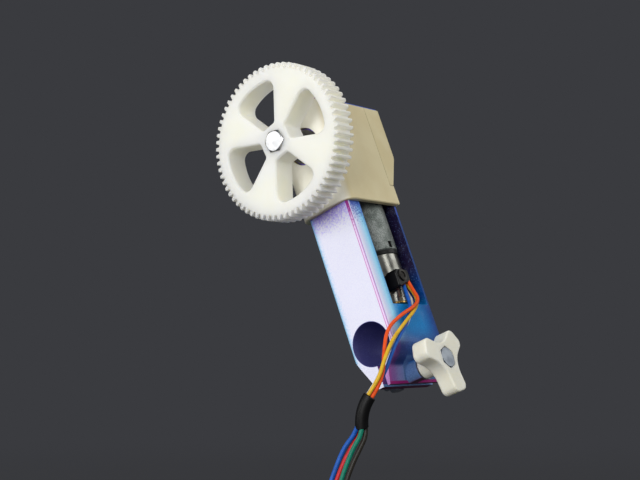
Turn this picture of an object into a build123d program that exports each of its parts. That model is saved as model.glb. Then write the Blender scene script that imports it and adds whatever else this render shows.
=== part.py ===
from build123d import *
import os
from math import cos, pi, radians, sin, sqrt, tan

os.makedirs("parts", exist_ok=True)

# Follow focus unit on a rod clamp, in millimetres and degrees.
# Every piece is drawn with the arm upright: X across the arm towards its open side and the
# clamp knob, Y along the rod towards the rear, Z up the arm, from a point on the rod's axis
# in the arm's front face. place() then leans the unit to its working angle and moves the
# origin along the rod to the middle of the clamp. The leads and the cable hang as they are:
# their points are given in that final frame.

# Driving dimensions -----------------------------------------------------------------------

lean = 21.75                      # the arm leans this far from upright, towards -X

rod_diameter = 15.0
rod_clearance = 0.05              # radial
fit_clearance = 0.05              # radial, a shaft in a bore or a screw in a nut
hole_clearance = 0.15             # radial, a screw's shank or head in a printed hole
seat_gap = 0.1                    # between printed pieces that slide together
hole_end = 0.4                    # a blind hole is this much deeper than its screw
over = 1.0                        # cutters reach this far past the faces they open
near = 0.01                       # an edge counts as lying in a plane within this

# arm
arm_width = 17.8                  # X
arm_depth = 29.6                  # Y
arm_front_wall = 7.0
arm_rear_wall = 1.5
front_edge_radius = 1.4
rear_edge_radius = 0.5
bay_bottom = 11.2                 # Z where the motor bay begins
motor_plate = 3.0                 # thickness of the plate that carries the motor
roof_plate = 1.8                  # inner roof of the gear chamber
roof_flange = 0.7                 # thin flange over the cap and the cover
flange_inset = 0.5                # the flange stops this far inside their outer faces

# rod clamp
ring_proud = 0.35                 # the ring round the rod stands out of the arm's sides
ear_bottom = -15.0                # Z
slit_width = 1.8
slit_offset = 0.5                 # X of the slit's middle
nut_ear_bottom_x = -3.0           # outer edge of the nut ear at its bottom
knob_ear_top_x = 4.0              # outer face of the knob ear, at its top and bottom
knob_ear_bottom_x = 2.4
ear_fillet = 2.6
clamp_screw_y = 13.6
clamp_screw_z = -11.9
clamp_pad_radius = 4.0
clamp_pad_x = 7.9                 # the washer's seat

# M4 hexagon screws, nuts and washers
m4_radius = 2.0
m4_pitch = 0.7
m4_head_flats = 7.0
m4_head_height = 2.8
m4_face = 0.95                    # flat circle on a head or nut, as a share of its flats
m4_chamfer = 30.0                 # angle at which its corners are turned down
m4_nut_height = 3.2
m4_thin_nut_height = 2.2
m4_washer_radius = 4.5
m4_washer_height = 0.8
small_washer_radius = 4.0
small_washer_height = 0.5
thread_depth = 0.28
clamp_screw_length = 25.0
clamp_screw_plain = 8.0           # unthreaded neck
clamp_head_turn = 24.0            # a corner of the head, from +Y towards +Z
spindle_head_turn = 45.0          # a corner of the head, from +X towards +Z
spindle_end = 0.4                 # the spindle stands this far out of its thin nut
spacer_radius = 3.0

# knob
knob_outer_x = 18.6
knob_lobe_thickness = 6.0
knob_reach = 12.0                 # axis to the flat tip of a lobe
knob_lobe_half = 3.7              # half the width of a lobe
knob_tip_radius = 2.4
knob_web_radius = 8.0             # hollow curve between two lobes
knob_boss_radius = 3.9
knob_turn = 40.3                  # angle of the first lobe, from +Y towards +Z
knob_front_edge = 0.55
knob_back_edge = 1.0

# drive gear
gear_module = 0.8
gear_teeth = 66
gear_width = 8.9
gear_phase = 1.4                  # angle of a tooth tip from +X towards +Z
spindle_z = 74.1                  # height of the gear's axis over the rod's axis
gear_gap = 6.9                    # between the gear's back and the cap's front
window_count = 4
window_turn = 7.5                 # angle of the first window's middle
window_outer_radius = 21.5
window_inner_radius = 6.6
window_span = 53.0                # degrees, at the outer radius
window_tip_span = 50.4            # degrees, at the inner radius
window_corner = 3.0
window_tip_corner = 1.2
window_edge = 0.45
tooth_edge = 0.45
dedendum = 1.25                   # root below the pitch circle, in modules
head_recess = 2.2                 # depth of the screw head's pocket in the gear

# gearbox cap and rear cover
cap_wall = 1.8
far_side_extra = 1.0              # the closed side of the cap and the cover is thicker by this
cap_bottom = 49.4
cap_top = 88.5
cap_front_radius = 5.5
cap_edge = 0.3
bearing_window = 0.6              # radial gap round the bearing in the cap's front
cover_depth = 8.6
cover_wall = 1.4
cover_slope_top = 72.0            # the cover's back slopes in below this height
cover_slope_bottom = 57.0
cover_corner = 2.5
cover_lap = 2.0                   # how far the cover reaches forward over the arm's sides
cover_joint = 0.25                # open joint between the cap and the cover
pillar_wall = 1.2                 # round each screw head in the cover

# ball bearings, 4 x 12 x 4
bearing_bore = 4.0
bearing_outer = 12.0
bearing_width = 4.0
bearing_proud = 1.4               # the front bearing stands out of the arm's face
bearing_boss = 1.2                # wall round the rear bearing
rear_shoulder = 0.8               # stop in front of the rear bearing
race_outer_inside = 4.55
race_inner_outside = 3.2
shield_thickness = 0.3
shield_inset = 0.2
shield_gap = 0.1                  # off the inner race
ball_radius = 1.1
ball_clearance = 0.05
ball_count = 7

# mitre bevel gears
bevel_module = 0.8
bevel_teeth = 16
bevel_face = 3.0
bevel_backlash = 0.10             # off each flank of a tooth
bevel_hub_radius = 4.2
bevel_hub_length = 4.0
bevel_sink = 0.05                 # teeth start this far inside the root cone, in modules
pressure_angle = 20.0
grub_clearance = 0.02             # radial, a grub screw in its hub
hub_gap = 0.4                     # between the pinion's hub and the motor plate

# gear motor
gearbox_radius = 8.0
gearbox_length = 27.0
gearbox_edge = 0.4
band_height = 1.45
band_radius = 7.85
can_radius = 7.5
can_length = 7.85
tail_radius = 5.8
tail_length = 9.3
tail_groove_up = 1.2              # over the tail's end
tail_groove_width = 0.4
tail_groove_depth = 0.25
end_ring_height = 0.6
end_ring_inset = 0.2
end_ring_width = 2.0
output_radius = 1.5
output_end_gap = 0.8              # between the output shaft's end and the spindle's sleeve
output_depth = 8.0                # how deep the shaft's journal hole goes into the gearbox
output_edge = 0.2
output_hole_radius = 3.2          # in the motor plate
journal_gap = 0.2                 # under the shaft's inner end
motor_screw_offset = 5.0
m2_radius = 1.0
m2_head_radius = 1.9
m2_head_height = 1.2
m2_slot = 0.5                     # width and depth
m2_depth = 3.0                    # thread length in the gearbox
notch_length = 2.4
notch_width = 1.9
notch_depth = 0.7
notch_places = (1.8, 18.2)        # over the gearbox's lower end
notch_turn = -5.5                 # angle of the notches round the gearbox, from +X

# terminal block on the open side of the motor's tail
block_ahead = 5.8                 # its front, ahead of the motor's axis
block_behind = 2.2
block_lap = 1.0                   # how far it reaches up the can
block_height = 6.9                # at its front
block_rise = 2.45                 # its underside climbs this much towards the rear
block_outer_x = 9.4
block_top_radius = 1.6
block_foot_radius = 0.9
block_edge = 0.5
block_clearance = 0.02            # radial, on the can and the tail
post_ahead = 2.4                  # ahead of the motor's axis
post_up = 4.5                     # over the lower front edge of the block
post_radius = 2.1
post_height = 0.5
post_well = 1.3
post_floor = 0.15

# small screws, M2.5
m25_radius = 1.25
m25_head_radius = 2.2
m25_head_height = 1.6
m25_socket = 2.0
m25_socket_depth = 1.0
cover_screw_length = 6.0
cover_screw_edge = 2.6            # in from the arm's sides and from the chamber's roof
cover_screw_low = 5.6             # lower pair, over the foot of the cover's slope
cap_screw_length = 4.4
cap_screw_seat = 0.9              # depth of the head's seat in the cap's side
cap_screw_edge = 7.0              # in from the cap's lower and upper end

# motor leads, splice sleeve and cable; points are in the final frame
lead_radius = 0.62
lead_grip = 0.6                   # how far a lead reaches into the block
lead_spread = 1.27                # radius of the ring of leads inside the sleeve
sleeve_grip = 1.0                 # how far leads and wires reach into the sleeve
sleeve_radius = 2.15
sleeve_edge = 0.3
sleeve_top = (9.5, -28.8, -16.4)
sleeve_middle = (7.5, -29.8, -21.2)
sleeve_bottom = (6.8, -29.4, -26.8)
wire_radius = 0.78
wire_spread = 0.86                # half the wires' spacing inside the sleeve
wire_pitch = 2.54                 # spacing in the connector
connector_top = (-1.1, -35.5, -80.9)
connector_length = 14.0
connector_depth = 2.6
connector_end_wall = 1.35         # beside the outer wires
connector_edge = 0.25
contact_size = 1.1
contact_hole = 0.55
contact_inset = 0.4               # at both ends of the socket
socket_depth = 8.0

# Derived sizes ----------------------------------------------------------------------------

arm_half = arm_width / 2
rod_bore = rod_diameter / 2 + rod_clearance
clamp_outer = arm_half + ring_proud
bay_rear = arm_depth - arm_rear_wall
bay_side = gearbox_radius + seat_gap
cap_half = arm_half + seat_gap + cap_wall
cap_far = cap_half + far_side_extra
cap_front = -seat_gap - cap_wall
roof_top = cap_top + roof_flange
chamber_top = cap_top - roof_plate
cover_front = arm_depth - cover_lap
gear_back = cap_front - gear_gap
gear_front = gear_back - gear_width
gear_pitch_radius = gear_module * gear_teeth / 2
gear_tip_radius = gear_pitch_radius + gear_module
gear_root_radius = gear_pitch_radius - dedendum * gear_module

motor_y = bay_rear - seat_gap - gearbox_radius
bevel_pitch_radius = bevel_module * bevel_teeth / 2
wheel_y = motor_y - bevel_pitch_radius          # pitch circle plane of the wheel
pinion_z = spindle_z - bevel_pitch_radius       # pitch circle plane of the pinion
bevel_back = dedendum * bevel_module * cos(radians(45))
wheel_hub_y = wheel_y - bevel_back - bevel_hub_length
pinion_hub_z = pinion_z - bevel_back - bevel_hub_length
bevel_toe = bevel_face * cos(radians(45))

plate_top = pinion_hub_z - hub_gap
gearbox_top = plate_top - motor_plate
gearbox_bottom = gearbox_top - gearbox_length
band_bottom = gearbox_bottom - band_height
can_bottom = band_bottom - can_length
tail_bottom = can_bottom - tail_length

block_front = motor_y - block_ahead
block_rear = motor_y + block_behind
block_top = can_bottom + block_lap
block_bottom = block_top - block_height
post_y = motor_y - post_ahead
post_z = block_bottom + post_up

front_bearing_y = -bearing_proud                # front face of each bearing
rear_bearing_y = bay_rear + rear_shoulder
boss_rear = rear_bearing_y + bearing_width
race_radius = (race_outer_inside + race_inner_outside) / 2

spindle_head_y = gear_front + head_recess       # under the head
spindle_length = boss_rear + m4_thin_nut_height + spindle_end - spindle_head_y
nut_bore = m4_radius + fit_clearance
clamp_head_x = knob_outer_x - m4_head_height    # under the head
origin_y = arm_depth / 2                        # the final origin, on the upright arm


# Helpers ----------------------------------------------------------------------------------

def place(shape):
    """Move a shape drawn on the upright arm to its final place."""
    return Rot(0, -lean, 0) * Pos(0, -origin_y, 0) * shape


def save(name, *shapes):
    """Write one node, made of one or more separate solids."""
    placed = [place(solid) for shape in shapes for solid in shape.solids()]
    whole = placed[0] if len(placed) == 1 else Compound(children=placed)
    export_step(whole, f"parts/{name}.step")


def block(x0, x1, y0, y1, z0, z1):
    """Box between two corners."""
    size = Box(x1 - x0, y1 - y0, z1 - z0)
    return Pos((x0 + x1) / 2, (y0 + y1) / 2, (z0 + z1) / 2) * size


def rod_x(radius, x0, x1, y, z):
    """Cylinder along X."""
    return Pos((x0 + x1) / 2, y, z) * Rot(0, 90, 0) * Cylinder(radius, x1 - x0)


def rod_y(radius, y0, y1, x=0, z=spindle_z):
    """Cylinder along Y, on the spindle's axis unless told otherwise."""
    return Pos(x, (y0 + y1) / 2, z) * Rot(-90, 0, 0) * Cylinder(radius, y1 - y0)


def rod_z(radius, z0, z1, x=0, y=motor_y):
    """Cylinder along Z, on the motor's axis unless told otherwise."""
    return Pos(x, y, (z0 + z1) / 2) * Cylinder(radius, z1 - z0)


def hexagon(flats, height):
    """Hexagonal prism on the XY plane with a corner on +X."""
    return extrude(RegularPolygon(flats / sqrt(3), 6), height)


def hexagon_head(height, both_faces=False):
    """M4 head or nut on the XY plane, its corners turned down at the top or at both faces."""
    corner = m4_head_flats / sqrt(3)
    face = m4_face * m4_head_flats / 2
    drop = (corner - face) * tan(radians(m4_chamfer))
    foot = [(face, 0), (corner, drop)] if both_faces else [(corner, 0)]
    points = [(0, 0), *foot, (corner, height - drop), (face, height), (0, height)]
    blank = revolve(make_face(Plane.XZ * Polyline(*points, close=True)), Axis.Z)
    return hexagon(m4_head_flats, height) & blank


def threaded_shank(radius, length, plain):
    """Screw shank down -Z from the origin: a plain neck, then ring grooves at the pitch."""
    points = [(0, 0), (radius, 0), (radius, -plain)]
    z = -plain
    while z - m4_pitch > -length + m4_pitch:
        points.append((radius - thread_depth, z - m4_pitch / 2))
        points.append((radius, z - m4_pitch))
        z -= m4_pitch
    points.append((radius, -length + m4_pitch / 2))
    points.append((radius - m4_pitch / 2, -length))
    points.append((0, -length))
    face = make_face(Plane.XZ * Polyline(*points, close=True))
    return revolve(face, Axis.Z)


def hex_screw(length, plain, turn):
    """M4 hexagon screw: head above the XY plane, shank below it."""
    head = Rot(0, 0, turn) * hexagon_head(m4_head_height)
    return head + threaded_shank(m4_radius, length, plain)


def hex_nut(height):
    """M4 nut standing on the XY plane."""
    return hexagon_head(height, both_faces=True) - Cylinder(nut_bore, 3 * height)


def ring(outer, inner, height):
    """Flat ring standing on the XY plane."""
    return Pos(0, 0, height / 2) * (Cylinder(outer, height) - Cylinder(inner, 2 * height))


def facing_front(shape, y):
    """Turn a shape that stands on the XY plane so that it points to -Y from the plane at y."""
    return Pos(0, y, spindle_z) * Rot(90, 0, 0) * shape


def facing_rear(shape, y):
    """Turn a shape that stands on the XY plane so that it points to +Y from the plane at y."""
    return Pos(0, y, spindle_z) * Rot(-90, 0, 0) * shape


# Arm --------------------------------------------------------------------------------------

def arm_outline():
    """Front view of the arm: straight sides, ring round the rod, two ears below it."""
    side_meets_ring = -sqrt(clamp_outer ** 2 - arm_half ** 2)
    ear_meets_ring = -sqrt(clamp_outer ** 2 - knob_ear_top_x ** 2)
    ring_angle = 45
    ring_mid = (clamp_outer * sin(radians(ring_angle)), -clamp_outer * cos(radians(ring_angle)))
    with BuildSketch(Plane.XZ) as outline:
        with BuildLine():
            Polyline((arm_half, side_meets_ring), (arm_half, chamber_top + roof_plate),
                     (-arm_half, chamber_top + roof_plate), (-arm_half, side_meets_ring),
                     (nut_ear_bottom_x, ear_bottom), (knob_ear_bottom_x, ear_bottom),
                     (knob_ear_top_x, ear_meets_ring))
            ThreePointArc((knob_ear_top_x, ear_meets_ring), ring_mid,
                          (arm_half, side_meets_ring))
        make_face()
    return outline.sketch


def arm_edges(body, y, radius):
    """Round the two long upright edges in the plane at y."""
    long_edges = [edge for edge in body.edges().filter_by(Axis.Z)
                  if abs(edge.center().Y - y) < near and edge.length > cap_bottom
                  and abs(abs(edge.center().X) - arm_half) < near]
    return fillet(long_edges, radius)


def clamp_corner(body):
    """Blend the knob ear into the ring round the rod."""
    inner = [edge for edge in body.edges().filter_by(Axis.Y)
             if abs(edge.center().X - knob_ear_top_x) < near and edge.center().Z < 0]
    return fillet(inner, ear_fillet)


def arm_body():
    body = extrude(arm_outline(), -arm_depth)
    body = clamp_corner(body)
    body = arm_edges(body, 0, front_edge_radius)
    body = arm_edges(body, arm_depth, rear_edge_radius)
    pad = rod_x(clamp_pad_radius, slit_offset, clamp_pad_x, clamp_screw_y, clamp_screw_z)
    body += pad & block(-arm_half, arm_half, 0, arm_depth, ear_bottom, 0)
    body -= rod_x(clamp_pad_radius, clamp_pad_x, knob_outer_x, clamp_screw_y, clamp_screw_z)
    # rod bore, slit, screw hole and the open seat of the nut
    body -= rod_y(rod_bore, -over, arm_depth + over, 0, 0)
    slit_left = slit_offset - slit_width / 2
    body -= block(slit_left, slit_left + slit_width, -over, arm_depth + over,
                  ear_bottom - over, 0)
    body -= rod_x(m4_radius + hole_clearance, -arm_half, arm_half, clamp_screw_y, clamp_screw_z)
    seat_half = m4_head_flats / sqrt(3) + seat_gap
    seat_top = clamp_screw_z + m4_head_flats / 2 + seat_gap
    body -= block(-arm_half - over, nut_ear_bottom_x, clamp_screw_y - seat_half,
                  clamp_screw_y + seat_half, ear_bottom - over, seat_top)
    # motor bay and gear chamber, both open to +X
    open_x = arm_half + over
    body -= block(-bay_side, open_x, arm_front_wall, bay_rear, bay_bottom, gearbox_top)
    body -= block(-bay_side, open_x, arm_front_wall, bay_rear, plate_top, chamber_top)
    body += rod_y(bearing_outer / 2 + bearing_boss, bay_rear, boss_rear)
    # bearing seats with a shoulder behind each
    body -= rod_y(bearing_outer / 2, -over, bearing_width - bearing_proud)
    body -= rod_y(bearing_outer / 2, rear_bearing_y, boss_rear + over)
    body -= rod_y(race_outer_inside, 0, boss_rear)
    # motor plate: hole for the output, holes for two screws
    body -= rod_z(output_hole_radius, gearbox_top - over, plate_top + over)
    for side in (-1, 1):
        x = side * motor_screw_offset
        body -= rod_z(m2_radius + hole_clearance, gearbox_top - over, plate_top + over, x)
        body -= rod_z(m2_head_radius + hole_clearance, plate_top - m2_head_height,
                      plate_top + over, x)
    # pilot holes of the cover's and the cap's screws
    for x, z in cover_screw_places():
        tip = arm_depth + cover_wall - cover_screw_length
        body -= rod_y(m25_radius, tip - hole_end, arm_depth + over, x, z)
    for y, z in cap_screw_places():
        tip = cap_screw_seat - cap_far + cap_screw_length
        body -= rod_x(m25_radius, -arm_half - over, tip + hole_end, y, z)
    return body + roof()


def roof():
    """Thin flange over the cap and the cover."""
    flange = block(-cap_far + flange_inset, cap_half - flange_inset, cap_front + flange_inset,
                   arm_depth + cover_depth - flange_inset, cap_top, roof_top)
    upright = flange.edges().filter_by(Axis.Z).sort_by(Axis.Y)
    flange = fillet(upright[:2], cap_front_radius - flange_inset)
    upright = flange.edges().filter_by(Axis.Z).sort_by(Axis.Y)
    return fillet(upright[-2:], cover_corner - flange_inset)


# Gearbox cap and rear cover ---------------------------------------------------------------

def cover_screw_places():
    """X and Z of the four screws that hold the rear cover."""
    x = arm_half - cover_screw_edge
    low = cover_slope_bottom + cover_screw_low
    high = chamber_top - cover_screw_edge
    return [(-x, low), (x, low), (-x, high), (x, high)]


def cap_screw_places():
    """Y and Z of the two screws on the cap's closed side."""
    y = arm_front_wall / 2
    return [(y, cap_bottom + cap_screw_edge), (y, cap_top - cap_screw_edge)]


def front_cap():
    outer = block(-cap_far, cap_half, cap_front, arm_depth, cap_bottom, cap_top)
    front_edges = outer.edges().filter_by(Axis.Z).sort_by(Axis.Y)[:2]
    outer = fillet(front_edges, cap_front_radius)
    rim = [edge for edge in outer.edges().filter_by(Plane.XY)
           if edge.center().Z < cap_bottom + near and edge.center().Y < arm_depth - near]
    outer = chamfer(rim, cap_edge)
    inside = arm_half + seat_gap
    hollow = block(-inside, inside, -seat_gap, arm_depth + over, cap_bottom - over,
                   cap_top + over)
    inner_edges = hollow.edges().filter_by(Axis.Z).sort_by(Axis.Y)[:2]
    hollow = fillet(inner_edges, front_edge_radius)
    cap = outer - hollow
    cap -= block(-cap_far - over, cap_half + over, cover_front - cover_joint, arm_depth + over,
                 cover_slope_bottom - cover_joint, cap_top + over)
    cap -= rod_y(bearing_outer / 2 + bearing_window, cap_front - over, over)
    for y, z in cap_screw_places():
        cap -= rod_x(m25_radius + hole_clearance, -cap_far - over, 0, y, z)
        cap -= rod_x(m25_head_radius + hole_clearance, -cap_far - over,
                     -cap_far + cap_screw_seat, y, z)
    return cap


def cover_side(inset, seam):
    """Side view of the rear cover, inset by a wall, from the seam to the back."""
    back = arm_depth + cover_depth - inset
    slope = (cover_slope_top - cover_slope_bottom) / cover_depth
    run_in = inset * sqrt(1 + slope ** 2)
    low = cover_slope_bottom + run_in + (seam - arm_depth) * slope
    high = cover_slope_bottom + run_in + (back - arm_depth) * slope
    with BuildSketch(Plane.YZ) as side:
        with BuildLine():
            Polyline((seam, low), (back, high), (back, cap_top - inset),
                     (seam, cap_top - inset), close=True)
        make_face()
    return side.sketch


def rear_cover():
    back = arm_depth + cover_depth
    outer = extrude(cover_side(0, arm_depth), cap_half + far_side_extra / 2, both=True)
    outer = Pos(-far_side_extra / 2, 0, 0) * outer
    back_edges = [edge for edge in outer.edges() if edge.center().Y > back - near]
    outer = fillet(back_edges, cover_corner)
    outer += block(-cap_far, cap_half, cover_front, arm_depth, cover_slope_bottom, cap_top)
    hollow = extrude(cover_side(cover_wall, arm_depth - over), cap_half - cover_wall, both=True)
    inside = arm_half + seat_gap
    cover = outer - hollow - block(-inside, inside, cover_front - over, arm_depth,
                                   cover_slope_bottom - over, cap_top + over)
    for x, z in cover_screw_places():
        pillar = rod_y(m25_head_radius + pillar_wall, arm_depth, back - cover_wall / 2, x, z)
        cover += pillar & outer
    for x, z in cover_screw_places():
        cover -= rod_y(m25_radius + hole_clearance, arm_depth - over, back + over, x, z)
        cover -= rod_y(m25_head_radius + hole_clearance, arm_depth + cover_wall, back + over,
                       x, z)
    return cover


def cover_screws():
    """Four socket head screws, their heads deep in the cover's pillars."""
    made = []
    for x, z in cover_screw_places():
        head_y = arm_depth + cover_wall
        head = rod_y(m25_head_radius, head_y, head_y + m25_head_height, x, z)
        shank = rod_y(m25_radius, head_y - cover_screw_length, head_y, x, z)
        socket = Rot(90, 0, 0) * hexagon(m25_socket, m25_socket_depth)
        made.append(head + shank - Pos(x, head_y + m25_head_height, z) * socket)
    return made


def cap_screws():
    """Two socket head screws through the cap's closed side."""
    made = []
    for y, z in cap_screw_places():
        seat_x = -cap_far + cap_screw_seat
        head = rod_x(m25_head_radius, seat_x - m25_head_height, seat_x, y, z)
        shank = rod_x(m25_radius, seat_x, seat_x + cap_screw_length, y, z)
        socket = Rot(0, 90, 0) * hexagon(m25_socket, m25_socket_depth)
        made.append(head + shank - Pos(seat_x - m25_head_height, y, z) * socket)
    return made


# Drive gear and spindle -------------------------------------------------------------------

def gear_points():
    """Outline of the drive gear, seven points to a tooth, seen on the XY plane."""
    pitch = 360 / gear_teeth
    shares = [(-0.50, gear_root_radius), (-0.33, gear_root_radius),
              (-0.235, gear_pitch_radius), (-0.115, gear_tip_radius),
              (0.115, gear_tip_radius), (0.235, gear_pitch_radius), (0.33, gear_root_radius)]
    points = []
    for tooth in range(gear_teeth):
        for share, radius in shares:
            angle = radians(gear_phase + (tooth + share) * pitch)
            points.append((radius * cos(angle), radius * sin(angle)))
    return points


def gear_window():
    """One window: a rounded sector between two spokes, seen on the XY plane."""
    half = radians(window_span / 2)
    tip_half = radians(window_tip_span / 2)
    outer, inner = window_outer_radius, window_inner_radius
    start = (outer * cos(half), -outer * sin(half))
    finish = (outer * cos(half), outer * sin(half))
    tip_low = (inner * cos(tip_half), -inner * sin(tip_half))
    tip_high = (inner * cos(tip_half), inner * sin(tip_half))
    with BuildSketch() as window:
        with BuildLine():
            ThreePointArc(start, (outer, 0), finish)
            Line(finish, tip_high)
            Line(tip_high, tip_low)
            Line(tip_low, start)
        make_face()
        outside = window.vertices().sort_by(Axis.X)[-2:]
        fillet(outside, window_corner)
        inside = window.vertices().sort_by(Axis.X)[:2]
        fillet(inside, window_tip_corner)
    return window.sketch


def drive_gear():
    """Spur gear standing on the XY plane with its front up, then turned to face -Y."""
    with BuildSketch() as outline:
        with BuildLine():
            Polyline(*gear_points(), close=True)
        make_face()
    wheel = extrude(outline.sketch, gear_width)
    blank = Pos(0, 0, gear_width / 2) * Cylinder(gear_tip_radius + near, gear_width)
    wheel &= chamfer(blank.edges().filter_by(GeomType.CIRCLE), tooth_edge)
    cutter = extrude(Pos(0, 0, -over) * gear_window(), gear_width + 2 * over)
    for index in range(window_count):
        wheel -= Rot(0, 0, window_turn + index * 360 / window_count) * cutter
    front = wheel.faces().sort_by(Axis.Z)[-1]
    rims = [edge for window in front.inner_wires() for edge in window.edges()]
    wheel = chamfer(rims, window_edge)
    wheel -= Cylinder(nut_bore, 4 * gear_width)
    pocket = Rot(0, 0, spindle_head_turn) * hexagon(m4_head_flats + 2 * seat_gap,
                                                    head_recess + over)
    wheel -= Pos(0, 0, gear_width - head_recess) * pocket
    return facing_front(wheel, gear_back)


def spindle_screw():
    plain = gear_width - head_recess
    return facing_front(hex_screw(spindle_length, plain, spindle_head_turn), spindle_head_y)


def spindle_spacers():
    """Plain sleeves on the spindle that space the races, the bevel wheel and the nuts."""
    washer_rear = gear_back + m4_nut_height + m4_washer_height
    spans = [(washer_rear, front_bearing_y),
             (front_bearing_y + bearing_width, wheel_hub_y),
             (wheel_y + bevel_toe, rear_bearing_y)]
    return [facing_rear(ring(spacer_radius, nut_bore, end - start), start)
            for start, end in spans]


def ball_bearing(y):
    """Outer race with shields, inner race and balls of a bearing whose front is at y."""
    middle = bearing_width / 2
    groove = Pos(0, 0, middle) * Torus(race_radius, ball_radius + ball_clearance)
    outer = ring(bearing_outer / 2, race_outer_inside, bearing_width)
    shield = ring(race_outer_inside, race_inner_outside + shield_gap, shield_thickness)
    outer += Pos(0, 0, shield_inset) * shield
    outer += Pos(0, 0, bearing_width - shield_thickness - shield_inset) * shield
    outer -= groove
    inner = ring(race_inner_outside, bearing_bore / 2 + fit_clearance, bearing_width) - groove
    balls = []
    for index in range(ball_count):
        angle = index * 360 / ball_count
        ball = Rot(0, 0, angle) * Pos(race_radius, 0, middle) * Sphere(ball_radius)
        balls.append(facing_rear(ball, y))
    return facing_rear(outer, y), facing_rear(inner, y), balls


# Bevel gears ------------------------------------------------------------------------------

def bevel_gear(bore, turned):
    """Mitre gear with its apex at the origin and its hub towards -Z."""
    apex = bevel_pitch_radius                      # pitch circle plane below the apex
    cone = sqrt(2) * bevel_pitch_radius
    toe = (cone - bevel_face) / cone
    root = bevel_pitch_radius - bevel_back
    root_z = -apex - bevel_back
    body = [(0, root_z * toe), (root * toe, root_z * toe), (root, root_z),
            (bevel_hub_radius, root_z), (bevel_hub_radius, root_z - bevel_hub_length),
            (0, root_z - bevel_hub_length)]
    core = revolve(make_face(Plane.XZ * Polyline(*body, close=True)), Axis.Z)
    sections = []
    for scale in (1.0, toe):
        tilt = Plane(origin=(bevel_pitch_radius * scale, 0, -apex * scale),
                     x_dir=(0, 1, 0), z_dir=(-1, 0, 1))
        half = pi * bevel_module / 4 - bevel_backlash
        tip = bevel_module * scale
        foot = (dedendum + bevel_sink) * bevel_module * scale
        slope = tan(radians(pressure_angle))
        wide = half * scale + foot * slope
        thin = half * scale - tip * slope
        corners = [(-wide, foot), (-thin, -tip), (thin, -tip), (wide, foot)]
        sections.append(make_face(tilt * Polyline(*corners, close=True)))
    tooth = loft(sections)
    gear = core
    for index in range(bevel_teeth):
        gear += Rot(0, 0, turned + index * 360 / bevel_teeth) * tooth
    gear -= Cylinder(bore, 6 * bevel_pitch_radius)
    return gear


def bevel_wheel():
    gear = bevel_gear(nut_bore, 0)
    gear = Pos(0, motor_y, spindle_z) * Rot(-90, 0, 0) * gear
    return gear - set_screw_hole_wheel()


def set_screw_hole_wheel():
    y = wheel_hub_y + bevel_hub_length / 2
    return Pos(0, y, spindle_z + bevel_hub_radius) * Cylinder(m2_radius, 2 * bevel_hub_radius)


def bevel_pinion():
    half_pitch = 180 / bevel_teeth
    gear = bevel_gear(output_radius + fit_clearance / 2, half_pitch)
    gear = Pos(0, motor_y, spindle_z) * gear
    return gear - set_screw_hole_pinion()


def set_screw_hole_pinion():
    z = pinion_hub_z + bevel_hub_length / 2
    return rod_x(m2_radius, 0, 2 * bevel_hub_radius, motor_y, z)


def set_screws():
    """The grub screw of the wheel and the one of the pinion."""
    wheel_end = spindle_z + m4_radius + fit_clearance
    y = wheel_hub_y + bevel_hub_length / 2
    wheel = rod_z(m2_radius - grub_clearance, wheel_end, spindle_z + bevel_hub_radius, 0, y)
    z = pinion_hub_z + bevel_hub_length / 2
    pinion = rod_x(m2_radius - grub_clearance, output_radius, bevel_hub_radius, motor_y, z)
    return wheel, pinion


# Gear motor -------------------------------------------------------------------------------

def motor_gearbox():
    body = rod_z(gearbox_radius, gearbox_bottom, gearbox_top)
    body = chamfer(body.edges().filter_by(GeomType.CIRCLE), gearbox_edge)
    body -= rod_z(output_radius + fit_clearance, gearbox_top - output_depth, gearbox_top + over)
    for side in (-1, 1):
        x = side * motor_screw_offset
        body -= rod_z(m2_radius, gearbox_top - m2_depth - hole_end, gearbox_top + over, x)
    for up in notch_places:
        notch = Box(2 * notch_depth, notch_width, notch_length)
        notch = Rot(0, 0, notch_turn) * Pos(gearbox_radius, 0, gearbox_bottom + up) * notch
        body -= Pos(0, motor_y, 0) * notch
    return body


def output_shaft():
    end = spindle_z - spacer_radius - output_end_gap
    shaft = rod_z(output_radius, gearbox_top - output_depth + journal_gap, end)
    return chamfer(shaft.edges().filter_by(GeomType.CIRCLE), output_edge)


def motor_screws():
    """Two slotted screws through the motor plate."""
    made = []
    for side in (-1, 1):
        x = side * motor_screw_offset
        head = rod_z(m2_head_radius, plate_top - m2_head_height, plate_top, x)
        shank = rod_z(m2_radius, gearbox_top - m2_depth, plate_top - m2_head_height, x)
        slot = block(x - m2_head_radius, x + m2_head_radius, motor_y - m2_slot / 2,
                     motor_y + m2_slot / 2, plate_top - m2_slot, plate_top + over)
        made.append(head + shank - slot)
    return made


def motor_tail():
    """Narrow rear part of the motor with a turned groove near its end."""
    tail = rod_z(tail_radius, tail_bottom, can_bottom)
    groove_z = tail_bottom + tail_groove_up
    groove = rod_z(tail_radius + over, groove_z, groove_z + tail_groove_width)
    groove -= rod_z(tail_radius - tail_groove_depth, tail_bottom, can_bottom)
    return tail - groove


def motor_end_ring():
    outer = tail_radius - end_ring_inset
    end_ring = ring(outer, outer - end_ring_width, end_ring_height)
    return Pos(0, motor_y, tail_bottom - end_ring_height) * end_ring


def block_underside(y):
    """Height of the terminal block's sloping underside."""
    return block_bottom + block_rise * (y - block_front) / (block_rear - block_front)


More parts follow.
